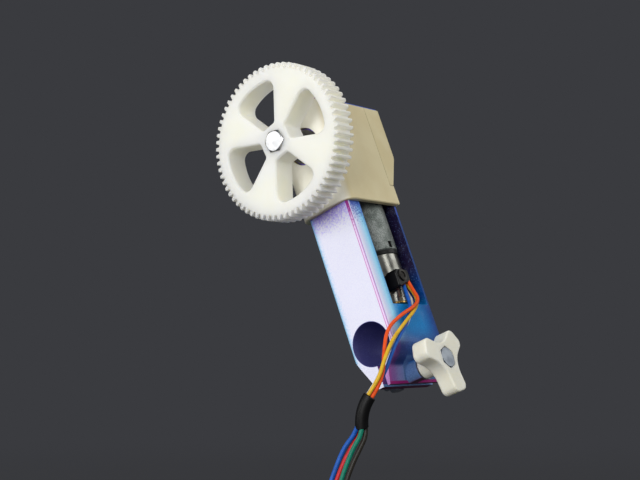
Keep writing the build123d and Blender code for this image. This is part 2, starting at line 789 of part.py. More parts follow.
def terminal_block():
    """Black block on the motor's open side, hollowed to the can and the tail behind it."""
    with BuildSketch(Plane.YZ) as side:
        with BuildLine():
            Polyline((block_front, block_bottom), (block_rear, block_underside(block_rear)),
                     (block_rear, block_top), (block_front, block_top), close=True)
        make_face()
        fillet(side.vertices().sort_by(Axis.Y)[-2:], block_top_radius)
        fillet(side.vertices().sort_by(Axis.Y)[:1], block_foot_radius)
    shape = extrude(side.sketch, block_outer_x)
    shape = fillet(shape.faces().sort_by(Axis.X)[-1].edges(), block_edge)
    shape -= rod_z(can_radius + block_clearance, can_bottom - block_clearance,
                   band_bottom + over)
    shape -= rod_z(tail_radius + block_clearance, block_bottom - over, can_bottom)
    return shape


def terminal_post():
    """Round solder cup in the block's outer face."""
    cup = rod_x(post_radius, block_outer_x, block_outer_x + post_height, post_y, post_z)
    well_x = block_outer_x + post_floor
    return cup - rod_x(post_well, well_x, block_outer_x + over, post_y, post_z)


# Rod clamp screw and knob -----------------------------------------------------------------

def knob_outline():
    """Three straight lobes with hollow webs between them, seen on the XY plane."""
    with BuildSketch() as sketch:
        for index in range(3):
            with Locations(Rot(0, 0, knob_turn + index * 120)):
                with Locations((knob_reach / 2, 0)):
                    Rectangle(knob_reach, 2 * knob_lobe_half)
        fillet(sketch.vertices().sort_by(SortBy.DISTANCE)[:3], knob_web_radius)
        fillet(sketch.vertices().sort_by(SortBy.DISTANCE)[-6:], knob_tip_radius)
    return sketch.sketch


def clamp_knob():
    """Knob standing on the XY plane with its outer face up, then turned to face +X."""
    lobes = extrude(knob_outline(), knob_lobe_thickness)
    lobes = fillet(lobes.faces().sort_by(Axis.Z)[-1].edges(), knob_front_edge)
    lobes = fillet(lobes.faces().sort_by(Axis.Z)[0].edges(), knob_back_edge)
    boss_length = knob_outer_x - knob_lobe_thickness - clamp_pad_x - small_washer_height
    boss = Pos(0, 0, -boss_length / 2) * Cylinder(knob_boss_radius, boss_length)
    knob = lobes + boss
    knob -= Cylinder(nut_bore, 6 * knob_lobe_thickness)
    pocket = Rot(0, 0, clamp_head_turn) * hexagon(m4_head_flats + 2 * seat_gap,
                                                  m4_head_height + over)
    knob -= Pos(0, 0, knob_lobe_thickness - m4_head_height) * pocket
    return on_clamp_screw(knob, knob_outer_x - knob_lobe_thickness)


def on_clamp_screw(shape, x):
    """Turn a shape that stands on the XY plane so that it points to +X from the plane at x."""
    return Pos(x, clamp_screw_y, clamp_screw_z) * Rot(0, 90, 90) * shape


def clamp_screw():
    screw = hex_screw(clamp_screw_length, clamp_screw_plain, clamp_head_turn)
    return on_clamp_screw(screw, clamp_head_x)


def clamp_nut():
    return on_clamp_screw(hex_nut(m4_nut_height), nut_ear_bottom_x - m4_nut_height)


def clamp_washer():
    washer = ring(small_washer_radius, nut_bore, small_washer_height)
    return on_clamp_screw(washer, clamp_pad_x)


# Leads and cable --------------------------------------------------------------------------

def leaned(x, y, z):
    """Point of the upright arm, in its final place."""
    return tuple(place(Pos(x, y, z)).position)


def sleeve_path():
    """The sleeve's gently bent axis, from its upper end down."""
    return ThreePointArc(sleeve_top, sleeve_middle, sleeve_bottom)


def in_sleeve_top(angle):
    """End of a lead inside the sleeve's upper end, at an angle round its axis from +X."""
    path = sleeve_path()
    turned = radians(angle)
    aside = Vector(lead_spread * cos(turned), lead_spread * sin(turned), 0)
    return tuple(path @ 0 + (path % 0) * sleeve_grip + aside)


def lead_points():
    """Route of each motor lead, from the terminal block to the splice sleeve."""
    # X and Y on the block's underside, points on the way, angle in the sleeve
    routes = {
        "orange": (8.7, 21.1,
                   [(3.8, 5.0, 18.4), (7.5, 2.8, 15.4), (9.4, -2.5, 12.8), (9.1, -10.4, 9.8),
                    (8.8, -18.2, 5.2), (11.0, -23.2, -2.8), (12.6, -25.9, -11.5)], -7),
        "blue": (7.85, 19.1,
                 [(3.6, 1.3, 17.0), (7.1, -1.6, 12.9), (8.6, -5.4, 9.3), (10.7, -9.8, 6.4),
                  (11.9, -14.9, 3.3), (12.2, -19.8, -1.9), (11.5, -23.6, -9.9)], 83),
        "yellow": (7.25, 21.4,
                   [(2.4, 7.4, 17.9), (6.0, 4.4, 14.6), (9.2, -2.3, 11.5), (11.4, -11.1, 7.5),
                    (12.0, -19.5, 1.8), (12.5, -25.1, -4.8), (12.2, -28.0, -11.6)], -97),
        "white": (6.85, 20.0,
                  [(0.9, 5.4, 17.5), (5.7, 1.8, 14.6), (8.3, -4.4, 8.0), (10.5, -13.1, 3.5),
                   (10.7, -20.0, -1.5), (10.7, -23.9, -7.8), (10.2, -27.2, -12.9)], 173),
    }
    return {name: [leaned(x, y, block_underside(y) + lead_grip)] + points
            + [in_sleeve_top(angle)]
            for name, (x, y, points, angle) in routes.items()}


def wire_points():
    """Route of each wire of the cable: bunched in the sleeve, side by side in the connector."""
    path = sleeve_path()
    x, y, z = connector_top
    middle = [tuple(path @ 1 - (path % 1) * sleeve_grip), (6.3, -29.7, -28.9),
              (4.4, -31.1, -32.6), (2.3, -32.9, -38.4), (-0.3, -34.9, -47.9),
              (-1.4, -35.8, -59.9), (-1.4, -35.7, -71.9), (x, y, z - sleeve_grip)]
    # from the sleeve to the connector: what is left of the bunch in X and in Y, and how far
    # the row has opened towards its full pitch
    bunch_x = [1, 0.6, 0, 0, 0, 0, 0, 0]
    bunch_y = [1, 1, 0.8, 0.3, 0, 0, 0, 0]
    row = [0, 0.32, 0.7, 0.73, 0.77, 0.9, 1, 1]
    finished = {}
    for index, name in enumerate(("blue", "red", "green", "black")):
        side_x = -wire_spread if index < 2 else wire_spread
        side_y = -wire_spread if index % 2 == 0 else wire_spread
        row_x = (index - 1.5) * wire_pitch
        finished[name] = [(px + side_x * in_x + row_x * in_row, py + side_y * in_y, pz)
                          for (px, py, pz), in_x, in_y, in_row
                          in zip(middle, bunch_x, bunch_y, row)]
    return finished


def cord(name, points, radius):
    """Tube of straight runs joined by tangent arcs, as large as the runs allow."""
    corners = [Vector(*point) for point in points]
    runs = [after - before for before, after in zip(corners, corners[1:])]
    radii = []
    for first, second in zip(runs, runs[1:]):
        turn = radians(first.get_angle(second))
        radii.append(0.45 * min(first.length, second.length) / tan(turn / 2))
    path = FilletPolyline(*points, radius=radii)
    profile = Plane(origin=path @ 0, z_dir=path % 0) * Circle(radius)
    tube = sweep(profile, path)
    expected = pi * radius ** 2 * path.length
    print(f"{name} length {path.length:.1f} volume ratio {tube.volume / expected:.4f} radii",
          [round(value, 1) for value in radii])
    export_step(tube, f"parts/{name}.step")


def splice_sleeve():
    path = sleeve_path()
    sleeve = sweep(Plane(origin=path @ 0, z_dir=path % 0) * Circle(sleeve_radius), path)
    ends = [edge for face in sleeve.faces().filter_by(GeomType.PLANE) for edge in face.edges()]
    return chamfer(ends, sleeve_edge)


def connector():
    """Four-way connector housing on the cable's end, and its contacts."""
    x, y, z = connector_top
    width = 3 * wire_pitch + 2 * connector_end_wall
    housing = Pos(x, y, z - connector_length / 2) * Box(width, connector_depth,
                                                        connector_length)
    housing = chamfer(housing.edges().filter_by(Axis.Z), connector_edge)
    contacts = []
    for index in range(4):
        wire_x = x + (index - 1.5) * wire_pitch
        bottom = z - connector_length
        socket = Pos(wire_x, y, bottom + socket_depth / 2) * Box(
            contact_size, contact_size, socket_depth)
        housing -= socket
        contact = Box(contact_size, contact_size, socket_depth - 2 * contact_inset)
        contact -= Box(contact_hole, contact_hole, socket_depth)
        contacts.append(Pos(wire_x, y, bottom + socket_depth / 2) * contact)
    return housing, contacts


# Build ------------------------------------------------------------------------------------

def build():
    save("arm_body", arm_body())
    save("gearbox_front_cap", front_cap())
    save("gearbox_rear_cover", rear_cover())
    save("rear_cover_screws", *cover_screws())
    save("cap_side_screws", *cap_screws())
    save("drive_gear", drive_gear())
    save("spindle_screw", spindle_screw())
    save("gear_nut", facing_rear(hex_nut(m4_nut_height), gear_back))
    washer_y = gear_back + m4_nut_height
    save("spindle_washer",
         facing_rear(ring(m4_washer_radius, nut_bore, m4_washer_height), washer_y))
    save("spindle_spacers", *spindle_spacers())
    save("spindle_thin_nut", facing_rear(hex_nut(m4_thin_nut_height), boss_rear))
    for name, y in (("front", front_bearing_y), ("rear", rear_bearing_y)):
        outer, inner, balls = ball_bearing(y)
        save(f"{name}_bearing_outer_race", outer)
        save(f"{name}_bearing_inner_race", inner)
        save(f"{name}_bearing_balls", *balls)
    save("bevel_wheel", bevel_wheel())
    save("bevel_pinion", bevel_pinion())
    wheel_screw, pinion_screw = set_screws()
    save("bevel_wheel_set_screw", wheel_screw)
    save("bevel_pinion_set_screw", pinion_screw)
    save("motor_gearbox", motor_gearbox())
    save("motor_output_shaft", output_shaft())
    save("motor_mount_screws", *motor_screws())
    save("motor_band", rod_z(band_radius, band_bottom, gearbox_bottom))
    save("motor_can", rod_z(can_radius, can_bottom, band_bottom))
    save("motor_tail", motor_tail())
    save("motor_end_ring", motor_end_ring())
    save("terminal_block", terminal_block())
    save("terminal_post", terminal_post())
    save("clamp_knob", clamp_knob())
    save("clamp_screw", clamp_screw())
    save("clamp_washer", clamp_washer())
    save("clamp_nut", clamp_nut())
    for name, points in lead_points().items():
        cord(f"lead_{name}", points, lead_radius)
    for name, points in wire_points().items():
        cord(f"cable_{name}", points, wire_radius)
    export_step(splice_sleeve(), "parts/splice_sleeve.step")
    housing, contacts = connector()
    export_step(housing, "parts/lead_connector.step")
    export_step(Compound(children=contacts), "parts/connector_contacts.step")


build()
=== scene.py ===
from math import pi, radians

import bpy
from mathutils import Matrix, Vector


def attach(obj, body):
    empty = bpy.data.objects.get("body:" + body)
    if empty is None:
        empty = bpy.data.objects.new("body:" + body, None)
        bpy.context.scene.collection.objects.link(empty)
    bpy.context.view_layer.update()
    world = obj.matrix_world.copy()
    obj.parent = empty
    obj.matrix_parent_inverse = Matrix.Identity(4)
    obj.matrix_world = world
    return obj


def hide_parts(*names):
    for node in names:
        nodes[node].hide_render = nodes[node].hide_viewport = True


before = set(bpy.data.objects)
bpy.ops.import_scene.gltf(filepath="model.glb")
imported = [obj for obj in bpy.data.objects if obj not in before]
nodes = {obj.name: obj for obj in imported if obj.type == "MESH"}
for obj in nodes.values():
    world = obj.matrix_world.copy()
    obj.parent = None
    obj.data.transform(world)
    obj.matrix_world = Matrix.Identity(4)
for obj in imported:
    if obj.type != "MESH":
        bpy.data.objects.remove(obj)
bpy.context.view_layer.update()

# Follow focus unit: looks, light and camera. Metres, in the CAD's frame.

MM = 0.001
LEAN = radians(21.75)        # the arm leans this far from upright, towards -X

# Places on the upright arm: x across it, y behind its front face, z up from the rod's axis
DEPTH = 29.6 * MM            # of the arm; the CAD's origin is half this behind its front face
WALL = 7.0 * MM              # front wall
REAR_WALL = 1.5 * MM
HALF = 8.9 * MM              # half the arm's width
BAY_FOOT = 11.2 * MM         # lower end of the motor bay
BAY_SHADE_DARKEST = 52.0 * MM         # where the bay's painted shade reaches its darkest
CHAMBER_TOP = 86.7 * MM      # upper end of the gear chamber
ROD_BORE = 7.65 * MM         # all that lies within this radius of the rod's axis
SLIT = 0.5 * MM              # middle of the slit between the clamp's ears
EAR_TOP = -8.0 * MM
LOWER_EDGE = -13.9 * MM      # where the lines along the ears' lower edges begin
PAD_TOP = -6.0 * MM          # of the near ear's pad under the knob
PAD_FRONT = 8.5 * MM
MOTOR_Y = 20.0 * MM          # the motor's axis
NOTCH_FLOOR = 7.7 * MM       # all of the gearbox within this radius of the axis is a notch

LAYER = 0.2 * MM             # height of a printed layer
LAYER_RELIEF = 0.04 * MM
FINE_SPECKLE = 3200          # noise scales, features in a metre
COARSE_SPECKLE = 1500


# Node helpers -----------------------------------------------------------------------------

def srgb(red, green, blue):
    """Linear colour of a display colour given in 0 to 255."""
    def linear(value):
        value /= 255
        return value / 12.92 if value <= 0.04045 else ((value + 0.055) / 1.055) ** 2.4
    return linear(red), linear(green), linear(blue), 1.0


BLACK = (0.0, 0.0, 0.0, 1.0)
WHITE = (1.0, 1.0, 1.0, 1.0)


def scaled(tone, factor, lift=0.0):
    """A colour made darker or lighter."""
    return tuple(min(1.0, factor * part + lift) for part in tone[:3]) + (1.0,)


class Nodes:
    """A node tree and short ways to add to it."""

    def __init__(self, tree):
        self.tree = tree
        self.tree.nodes.clear()

    def node(self, kind, *inputs, **settings):
        """New node: inputs are links or values for its sockets in order, None to skip one."""
        made = self.tree.nodes.new("ShaderNode" + kind)
        for key, value in settings.items():
            setattr(made, key, value)
        for socket, value in zip(made.inputs, inputs):
            self.give(socket, value)
        return made

    def give(self, socket, value):
        if isinstance(value, bpy.types.NodeSocket):
            self.tree.links.new(value, socket)
        elif value is not None:
            socket.default_value = value

    def maths(self, operation, *values):
        return self.node("Math", *values, operation=operation).outputs[0]

    def direct_ray(self):
        """1 for a ray from the camera, a mirror or glass, and 0 for light on the object."""
        ray = self.node("LightPath").outputs
        direct = self.maths("MAXIMUM", ray["Is Camera Ray"], ray["Is Glossy Ray"])
        return self.maths("MAXIMUM", direct, ray["Is Transmission Ray"])


class Surface(Nodes):
    """A Principled material and the nodes that feed it."""

    def __init__(self, name, **sockets):
        self.material = bpy.data.materials.new(name)
        self.material.use_nodes = True
        super().__init__(self.material.node_tree)
        self.shader = self.node("BsdfPrincipled")
        self.out = self.node("OutputMaterial", self.shader.outputs[0])
        for socket, value in sockets.items():
            self.shader.inputs[socket.replace("_", " ")].default_value = value
        self.coords = self.node("TexCoord")

    def feed(self, socket, value):
        self.tree.links.new(value, self.shader.inputs[socket])

    def turned(self, output, kind="POINT"):
        """Object coordinates or normal, as seen on the upright arm."""
        return self.node("Mapping", self.coords.outputs[output], None, (0, LEAN, 0),
                         vector_type=kind).outputs[0]

    def parts(self, vector):
        """X, Y and Z of a vector."""
        return self.node("SeparateXYZ", vector).outputs

    def radius(self, first, second):
        """Distance from an axis, given the two places across it."""
        place = self.node("CombineXYZ", first, second, 0.0).outputs[0]
        return self.node("VectorMath", place, operation="LENGTH").outputs["Value"]

    def noise(self, scale, detail=2.0, stretch=(1, 1, 1), vector=None):
        """Grey noise with a feature about one over scale metres wide."""
        source = self.coords.outputs["Object"] if vector is None else vector
        spread = self.node("Mapping", source, None, None, stretch).outputs[0]
        return self.node("TexNoise", spread, None, scale, detail).outputs[0]

    def ramp(self, value, *stops, smooth=True):
        """Colours along a value: each stop is (place, colour)."""
        made = self.node("ValToRGB", value)
        bar = made.color_ramp
        bar.interpolation = "EASE" if smooth else "LINEAR"
        while len(bar.elements) < len(stops):
            bar.elements.new(1.0)
        for element, (place, colour) in zip(bar.elements, stops):
            element.position = place
            element.color = colour
        return made.outputs[0]

    def window(self, value, low, high):
        """0 at low, 1 at high, eased between them; high may be the smaller."""
        made = self.node("MapRange", value, low, high, 0.0, 1.0)
        made.interpolation_type = "SMOOTHSTEP"
        return made.outputs[0]

    def share(self, value, low, high):
        """0 at low, 1 at high, in a straight line between them."""
        return self.node("MapRange", value, low, high, 0.0, 1.0).outputs[0]

    def span(self, value, low, high):
        """A grey value from 0 to 1 spread over low to high."""
        return self.node("MapRange", value, 0.0, 1.0, low, high).outputs[0]

    def both(self, first, second):
        """Where two masks overlap, or one mask made fainter by a number."""
        return self.maths("MULTIPLY", first, second)

    def mix(self, factor, first, second, blend="MIX"):
        made = self.node("Mix", data_type="RGBA", blend_type=blend)
        for index, value in ((0, factor), (6, first), (7, second)):
            self.give(made.inputs[index], value)
        return made.outputs[2]

    def dots(self, strength, colour, grain, dark, bright):
        """A colour with black and white grains laid softly over it."""
        return self.mix(strength, colour, self.ramp(grain, (dark, BLACK), (bright, WHITE)),
                        "SOFT_LIGHT")

    def bump(self, height, strength, distance):
        made = self.node("Bump", strength, distance)
        self.tree.links.new(height, made.inputs["Height"])
        self.feed("Normal", made.outputs[0])

    def layers(self, axis):
        """Fine lines of a print whose layers are stacked along an axis, 0 to 1."""
        along = self.parts(self.turned("Object"))[axis]
        turns = self.maths("MULTIPLY", along, pi / LAYER)
        return self.maths("ABSOLUTE", self.maths("SINE", turns))


# Plastics ---------------------------------------------------------------------------------

def colour_shift():
    """Printed colour-shift plastic: pale lavender on the front, partly painted glare, a double
    magenta line and cyan along its edges, blue sides and a dark violet motor bay that is
    painted shade, with a fine speckle;
    also painted sheen on the open side's front strip, painted shadow under the gearbox,
    painted shade round the rod and painted highlights on the ears."""
    skin = Surface("colour_shift", Metallic=0.08, Specular_IOR_Level=0.12, Coat_Weight=0.03,
                   Coat_Roughness=0.30)
    x, centred, z = skin.parts(skin.turned("Object"))
    nx, ny, up = skin.parts(skin.turned("Normal", "VECTOR"))
    y = skin.maths("ADD", centred, DEPTH / 2)
    down, forward = (skin.maths("MULTIPLY", part, -1.0) for part in (up, ny))
    facing = skin.window(forward, 0.7, 0.9)
    grain = skin.noise(FINE_SPECKLE, 1.0)
    spots = skin.noise(COARSE_SPECKLE, 1.0)
    lavender = srgb(232, 232, 249)
    violet = srgb(150, 124, 250)
    bay_shade_violet = srgb(28, 21, 54)
    rear_violet = srgb(76, 66, 160)
    magenta = srgb(182, 52, 168)
    cyan = srgb(160, 226, 255)
    blue = srgb(5, 128, 198)
    deep_blue = srgb(12, 74, 152)

    # around the upright arm: 0 at the rear, 0.25 at -X, 0.5 at the front, 0.75 at +X
    around = skin.maths("MULTIPLY_ADD", skin.maths("ARCTAN2", nx, forward), 0.5 / pi, 0.5)
    # the front's pale lavender is partly the plastic's tint and partly painted glare
    colour = skin.ramp(around, (0.0, rear_violet), (0.10, deep_blue), (0.26, blue),
                       (0.33, cyan), (0.42, cyan), (0.48, lavender), (0.53, lavender),
                       (0.55, magenta), (0.58, srgb(236, 214, 244)),
                       (0.62, srgb(232, 210, 244)), (0.65, srgb(168, 70, 178)),
                       (0.68, lavender), (0.72, cyan), (0.80, deep_blue), (1.0, rear_violet),
                       smooth=False)
    # across the open side, from the front edge to the rear strip; the pale and cyan band near
    # the front edge is partly the plastic's edge colour and partly painted sheen
    across = skin.share(y, 0.0, DEPTH)
    side = skin.ramp(across, (0.05, srgb(234, 232, 255)), (0.11, srgb(200, 226, 255)),
                     (0.17, cyan), (0.25, srgb(76, 160, 220)), (0.32, blue), (0.72, blue),
                     (0.93, deep_blue), (1.0, srgb(34, 62, 120)), smooth=False)
    beside = skin.maths("ABSOLUTE", skin.maths("SUBTRACT", around, 0.75))
    level = skin.window(skin.maths("ABSOLUTE", up), 0.97, 0.90)
    on_side = skin.both(skin.window(beside, 0.06, 0.03), level)
    colour = skin.mix(on_side, colour, side)
    # the front turns pale cyan towards its closed edge
    edge = skin.window(skin.maths("MULTIPLY_ADD", spots, 3 * MM, x), 4.5 * MM - HALF,
                       1.0 * MM - HALF)
    colour = skin.mix(skin.both(edge, facing), colour, srgb(150, 208, 250))

    # painted shadow under the gear and gearbox: violet on the front and blue on the side,
    # broken up into spots where it ends
    reach = skin.maths("MULTIPLY_ADD", spots, 14 * MM, z)
    high = skin.both(skin.window(reach, 48 * MM, 60 * MM), facing)
    colour = skin.mix(skin.both(high, 0.95), colour,
                      skin.mix(edge, violet, srgb(74, 118, 226)))
    high = skin.both(skin.window(reach, 47 * MM, 57 * MM), on_side)
    colour = skin.mix(skin.both(high, 0.95), colour, srgb(58, 88, 188))
    # the magenta line is painted thicker and darker there, as part of the same painted shadow
    line = skin.both(skin.window(around, 0.53, 0.56), skin.window(around, 0.68, 0.65))
    line = skin.both(line, skin.window(reach, 44 * MM, 56 * MM))
    colour = skin.mix(line, colour, srgb(150, 40, 136))

    # painted shade: towards the foot the side darkens round the rod, where it turns under, and
    # turns violet on the ear's corner
    foot = skin.both(skin.window(z, 4 * MM, -4 * MM), on_side)
    ring = skin.ramp(across, (0.0, srgb(160, 84, 168)), (0.08, srgb(104, 62, 138)),
                     (0.16, srgb(56, 68, 130)), (0.40, srgb(50, 86, 150)),
                     (1.0, srgb(44, 72, 134)))
    colour = skin.mix(foot, colour, ring)
    # painted highlight on the ear's outer face: pale blue-grey across its middle, violet at
    # its front corner and darker towards the knob
    ear = skin.window(z, EAR_TOP, EAR_TOP - 2 * MM)
    ear_face_highlight = skin.ramp(across, (0.0, srgb(176, 84, 168)), (0.08, srgb(150, 104, 178)),
                         (0.22, srgb(150, 150, 208)), (0.34, srgb(136, 168, 212)),
                         (0.5, srgb(76, 104, 158)))
    colour = skin.mix(skin.both(ear, skin.window(nx, 0.8, 0.95)), colour, ear_face_highlight)
    pad = skin.both(skin.window(z, PAD_TOP, PAD_TOP - 1 * MM),
                    skin.window(y, PAD_FRONT, PAD_FRONT + 0.5 * MM))
    colour = skin.mix(pad, colour, srgb(96, 128, 178))
    # the near ear's front, and the lines along the lower edges of both ears: magenta on the
    # near ear, a painted highlight on the far one
    near_ear = skin.window(x, SLIT - 0.2 * MM, SLIT + 0.2 * MM)
    front = skin.both(skin.window(y, 4 * MM, 3 * MM), facing)
    front = skin.both(front, skin.both(ear, near_ear))
    colour = skin.mix(front, colour, srgb(196, 140, 206))
    line = skin.both(skin.window(z, LOWER_EDGE, LOWER_EDGE - 0.3 * MM),
                     skin.window(nx, 0.3, 0.6))
    colour = skin.mix(line, colour,
                      skin.mix(near_ear, srgb(140, 180, 232), srgb(168, 36, 124)))

    # top faces, bottom faces, and the bore for the rod
    colour = skin.mix(skin.window(up, 0.6, 0.9), colour, srgb(44, 108, 172))
    under = skin.both(skin.window(down, 0.6, 0.9), skin.window(z, -11 * MM, -13 * MM))
    colour = skin.mix(under, colour, srgb(112, 26, 84))
    bore = skin.window(skin.radius(x, z), ROD_BORE + 0.1 * MM, ROD_BORE)
    colour = skin.mix(bore, colour, srgb(84, 84, 150))
    # painted shade inside the motor bay and the gear chamber: blue at the bay's foot,
    # darkening to violet further in
    inner = skin.window(y, WALL - 0.2 * MM, WALL + 0.2 * MM)
    rear_face = DEPTH - REAR_WALL
    for value, low, high in ((x, 0.4 * MM - HALF, 0.6 * MM - HALF),
                             (y, rear_face + 0.3 * MM, rear_face),
                             (z, BAY_FOOT - 0.3 * MM, BAY_FOOT + 0.1 * MM),
                             (z, CHAMBER_TOP + 0.5 * MM, CHAMBER_TOP + 0.1 * MM)):
        inner = skin.both(inner, skin.window(value, low, high))
    bay = skin.ramp(skin.share(z, BAY_FOOT, BAY_SHADE_DARKEST), (0.0, blue), (0.10, deep_blue),
                    (0.40, bay_shade_violet))
    colour = skin.mix(inner, colour, bay)

    # pale clouds, and the sparkle of the pigment, which is stronger inside
    clouds = skin.noise(160, 3.0)
    colour = skin.mix(skin.window(clouds, 0.48, 0.80), colour,
                      skin.mix(0.05, colour, srgb(236, 232, 250)))
    colour = skin.dots(0.20, colour, grain, 0.3, 0.7)
    colour = skin.mix(skin.window(grain, 0.66, 0.76), colour,
                      skin.mix(skin.span(inner, 0.20, 0.45), colour, srgb(150, 190, 255)))
    skin.feed("Base Color", colour)
    streaks = skin.noise(60, 2.0, (1, 60, 1), skin.turned("Object"))
    skin.feed("Roughness", skin.span(streaks, 0.30, 0.48))
    skin.bump(skin.maths("MULTIPLY_ADD", grain, 0.5, skin.layers(1)), 0.22, LAYER_RELIEF)
    return skin.material


def ivory(name, layer_axis, tone, warm, seed, glow=0.15, depth=3 * MM, front=None):
    """Printed ivory plastic, satin and faintly translucent, with layer lines stacked along
    one axis of the arm, and, where one is given, a paler tone painted on faces turned to the
    front, as painted light from the front."""
    skin = Surface(name, Subsurface_Weight=glow, Subsurface_Scale=depth,
                   Subsurface_Radius=(1.0, 0.94, 0.80), IOR=1.46, Specular_IOR_Level=0.4)
    stretch = [3.0, 3.0, 3.0]
    stretch[layer_axis] = 320.0
    streaks = skin.noise(9 + seed, 2.0, stretch, skin.turned("Object"))
    clouds = skin.noise(70 + 11 * seed, 3.0)
    colour = skin.ramp(clouds, (0.3, warm), (0.7, tone))
    colour = skin.mix(skin.span(streaks, 0.0, 0.5), colour, warm)
    # painted light: faces turned to the front are made paler
    if front:
        forward = skin.maths("MULTIPLY", skin.parts(skin.turned("Normal", "VECTOR"))[1], -1.0)
        colour = skin.mix(skin.window(forward, 0.3, 0.9), colour, front)
    skin.feed("Base Color", colour)
    skin.feed("Roughness", skin.span(clouds, 0.36, 0.52))
    height = skin.maths("MULTIPLY_ADD", streaks, 1.5, skin.layers(layer_axis))
    skin.bump(height, 0.16, LAYER_RELIEF)
    return skin.material


def moulded(name, tone, roughness, grain_size, relief):
    """Plain moulded plastic or rubber with a light grain."""
    skin = Surface(name, IOR=1.48, Specular_IOR_Level=0.35)
    grain = skin.noise(1 / grain_size, 2.0)
    clouds = skin.noise(120, 2.0)
    skin.feed("Base Color", skin.ramp(clouds, (0.3, scaled(tone, 0.72)), (0.65, tone)))
    skin.feed("Roughness", skin.span(grain, roughness - 0.08, roughness + 0.08))
    skin.bump(grain, 0.25, relief)
    return skin.material


def insulation(name, tone):
    """Soft insulation of a thin lead: nearly even, lightly dusty."""
    skin = Surface(name, IOR=1.45, Specular_IOR_Level=0.35)
    dust = skin.noise(700, 3.0)
    skin.feed("Base Color", skin.ramp(dust, (0.3, scaled(tone, 0.82)), (0.5, tone),
                                      (0.75, scaled(tone, 1.12, 0.01))))
    skin.feed("Roughness", skin.span(dust, 0.36, 0.50))
    skin.bump(dust, 0.1, 0.03 * MM)
    return skin.material


# Metals -----------------------------------------------------------------------------------

def metal(name, tone, low, high, grain_scale, stretch=(1, 1, 1), patches=None):
    """Metal with roughness from low to high and a grain stretched along its finish."""
    skin = Surface(name, Metallic=1.0)
    grain = skin.noise(grain_scale, 2.0, stretch)
    clouds = skin.noise(220, 3.0)
    skin.feed("Base Color", skin.ramp(clouds, (0.35, patches or scaled(tone, 0.78)),
                                      (0.62, tone)))
    skin.feed("Roughness", skin.span(grain, low, high))
    skin.bump(grain, 0.3, 0.02 * MM)
    return skin.material


def cast_metal(name, tone, dark):
    """Blasted metal of the gearbox: a dull grey with bright and dark grains, and black
    painted shade in its notches."""
    skin = Surface(name, Metallic=0.5)
    x, centred, _ = skin.parts(skin.turned("Object"))
    behind = skin.maths("ADD", centred, DEPTH / 2 - MOTOR_Y)
    grain = skin.noise(3000, 2.0)
    clouds = skin.noise(260, 3.0)
    colour = skin.ramp(clouds, (0.35, dark), (0.65, tone))
    colour = skin.dots(0.5, colour, grain, 0.35, 0.65)
    # painted shade: the notches, shallow recesses, are painted black
    notch = skin.window(skin.radius(x, behind), NOTCH_FLOOR, NOTCH_FLOOR - 0.1 * MM)
    skin.feed("Base Color", skin.mix(notch, colour, srgb(16, 15, 14)))
    skin.feed("Roughness", skin.span(grain, 0.38, 0.62))
    skin.bump(grain, 0.35, 0.08 * MM)
    return skin.material


insulation_colours = {
    "orange": srgb(232, 84, 24),
    "yellow": srgb(222, 178, 40),
    "blue": srgb(24, 88, 178),
    "white": srgb(222, 220, 210),
    "red": srgb(196, 34, 44),
    "green": srgb(14, 122, 98),
    "black": srgb(44, 40, 34),
}

finishes = {
    "colour_shift": colour_shift(),
    "ivory_gear": ivory("ivory_gear", 1, srgb(254, 252, 241), srgb(252, 249, 231), 1,
                        0.80, 8 * MM),
    # the cap's paler front tone is painted light from the front
    "ivory_cap": ivory("ivory_cap", 1, srgb(225, 213, 172), srgb(217, 202, 157), 2,
                       front=srgb(250, 247, 234)),
    "ivory_cover": ivory("ivory_cover", 1, srgb(223, 211, 169), srgb(215, 200, 153), 3),
    "ivory_knob": ivory("ivory_knob", 0, srgb(240, 239, 227), srgb(235, 232, 214), 4, 0.45),
    "zinc": metal("zinc", srgb(212, 212, 212), 0.22, 0.42, 900, patches=srgb(184, 185, 186)),
    "bearing_steel": metal("bearing_steel", srgb(160, 160, 162), 0.26, 0.40, 1500),
    "turned_aluminium": metal("turned_aluminium", srgb(208, 210, 214), 0.22, 0.36, 300,
                              (1, 20, 1)),
    "brass": metal("brass", srgb(214, 176, 104), 0.20, 0.36, 700, patches=srgb(190, 148, 80)),
    "gearbox_metal": cast_metal("gearbox_metal", srgb(152, 158, 154), srgb(112, 120, 115)),
    "can_steel": metal("can_steel", srgb(166, 166, 158), 0.24, 0.34, 500,
                       patches=srgb(136, 135, 127)),
    "dark_steel": metal("dark_steel", srgb(86, 84, 80), 0.38, 0.58, 900,
                        patches=srgb(58, 56, 53)),
    "grey_zinc": metal("grey_zinc", srgb(176, 184, 192), 0.24, 0.42, 900,
                       patches=srgb(142, 150, 160)),
    "black_plastic": moulded("black_plastic", srgb(14, 15, 14), 0.42, 0.4 * MM, 0.03 * MM),
    "sleeve_black": moulded("sleeve_black", srgb(9, 9, 10), 0.52, 1.2 * MM, 0.16 * MM),
}
for colour, tone in insulation_colours.items():
    finishes[colour] = insulation(f"insulation_{colour}", tone)

